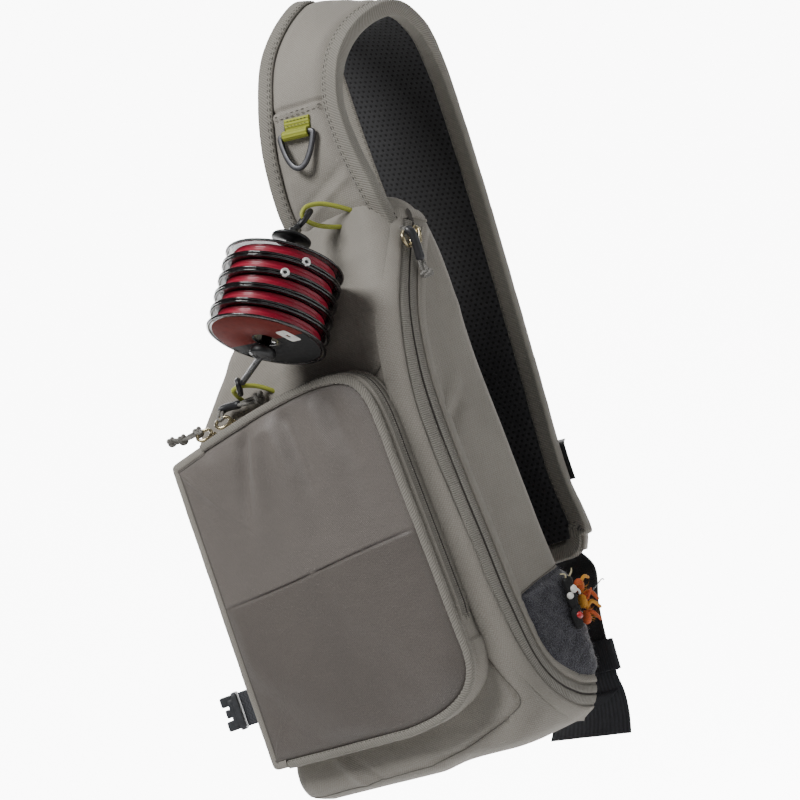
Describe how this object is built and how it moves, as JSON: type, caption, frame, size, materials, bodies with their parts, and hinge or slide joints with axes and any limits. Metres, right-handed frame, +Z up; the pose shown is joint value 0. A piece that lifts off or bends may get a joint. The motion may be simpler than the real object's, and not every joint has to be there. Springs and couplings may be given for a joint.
{
  "type": "fishing tackle sling bag",
  "caption": "One-strap fishing sling pack with a front zip pocket, side zip, padded shoulder strap, fleece fly patch, gear ring and a docked bar of line spools.",
  "frame": {"origin": "shoulder seat: the top of the space under the strap, where the strap lies on the wearer's shoulder", "axes": "+Z up the bag, +Y towards the wearer's back behind the back panel, -Y out of the front pocket, +X towards the side zip"},
  "size_m": [0.2958, 0.2412, 0.528],
  "materials": {
    "grey_cloth": "light grey synthetic weave, matt",
    "pocket_cloth": "warm grey cloth with a fine speckle, matt",
    "binding_cloth": "grey ribbed grosgrain, matt",
    "zip_tape": "grey woven zip tape with a coated coil",
    "air_mesh": "black open air mesh",
    "fleece": "heather blue-grey fleece pile",
    "webbing": "black woven webbing with a slight sheen",
    "green_cloth": "yellow-green elastic and webbing",
    "pull_cord": "light grey flecked cord",
    "gunmetal": "gunmetal, satin, worn bright at the edges",
    "ring_metal": "antique gold wire, worn",
    "black_plastic": "black moulded plastic, glossy",
    "dark_plastic": "dark grey moulded plastic, matt",
    "clear_plastic": "smoke-clear moulded plastic, glossy",
    "red_line": "crimson fishing line, close wound",
    "black_foam": "black foam with pale tips",
    "orange_foam": "orange foam with pale undersides"
  },
  "bodies": {
    "bag": {"body_shell": "grey_cloth", "back_panel": "air_mesh", "main_zip": "zip_tape", "zip_garage": "grey_cloth", "fly_patch": "fleece", "pocket_gusset": "grey_cloth", "pocket_zip": "zip_tape", "pocket_binding": "binding_cloth", "pocket_panel_upper": "pocket_cloth", "pocket_panel_lower": "pocket_cloth", "strap_pad": "grey_cloth", "strap_lining": "air_mesh", "strap_binding_right": "binding_cloth", "strap_binding_left": "binding_cloth", "strap_webbing": "webbing", "webbing_anchor": "webbing", "webbing_keeper": "webbing", "webbing_wing": "webbing", "webbing_loop": "webbing", "side_webbing": "webbing", "side_buckle": "dark_plastic", "ring_tab": "green_cloth", "dock_cord_top": "green_cloth", "dock_cord_low": "green_cloth", "spool_bar": "black_plastic", "main_slider": "gunmetal", "main_ring": "ring_metal", "main_pull": "pull_cord", "pocket_slider_a": "gunmetal", "pocket_a_ring": "ring_metal", "pocket_a_pull": "pull_cord", "pocket_slider_b": "gunmetal", "pocket_b_ring": "ring_metal", "pocket_b_pull": "pull_cord", "black_fly": "black_foam", "orange_fly": "orange_foam"},
    "gear_ring": {"gear_ring": "gunmetal"},
    "spool_1": {"spool_1": "clear_plastic", "spool_line_1": "red_line"},
    "spool_2": {"spool_2": "clear_plastic", "spool_line_2": "red_line"},
    "spool_3": {"spool_3": "clear_plastic", "spool_line_3": "red_line"},
    "spool_4": {"spool_4": "clear_plastic", "spool_line_4": "red_line"},
    "spool_5": {"spool_5": "clear_plastic", "spool_line_5": "red_line"}
  },
  "joints": [
    {"name": "gear_ring_swing", "type": "hinge", "parent": "bag", "child": "gear_ring", "pos_m": [-0.015, -0.0813, -0.073], "axis": [-0.9761, -0.0805, 0.202], "range_deg": [0, 150]},
    {"name": "spool_1_spin", "type": "hinge", "parent": "bag", "child": "spool_1", "pos_m": [-0.02826, -0.12367, -0.15779], "axis": [0.2421, 0.5134, 0.8233], "continuous": true},
    {"name": "spool_2_spin", "type": "hinge", "parent": "bag", "child": "spool_2", "pos_m": [-0.03076, -0.12896, -0.16627], "axis": [0.2421, 0.5134, 0.8233], "continuous": true},
    {"name": "spool_3_spin", "type": "hinge", "parent": "bag", "child": "spool_3", "pos_m": [-0.03325, -0.13425, -0.17475], "axis": [0.2421, 0.5134, 0.8233], "continuous": true},
    {"name": "spool_4_spin", "type": "hinge", "parent": "bag", "child": "spool_4", "pos_m": [-0.03574, -0.13954, -0.18323], "axis": [0.2421, 0.5134, 0.8233], "continuous": true},
    {"name": "spool_5_spin", "type": "hinge", "parent": "bag", "child": "spool_5", "pos_m": [-0.03824, -0.14483, -0.19171], "axis": [0.2421, 0.5134, 0.8233], "continuous": true}
  ]
}
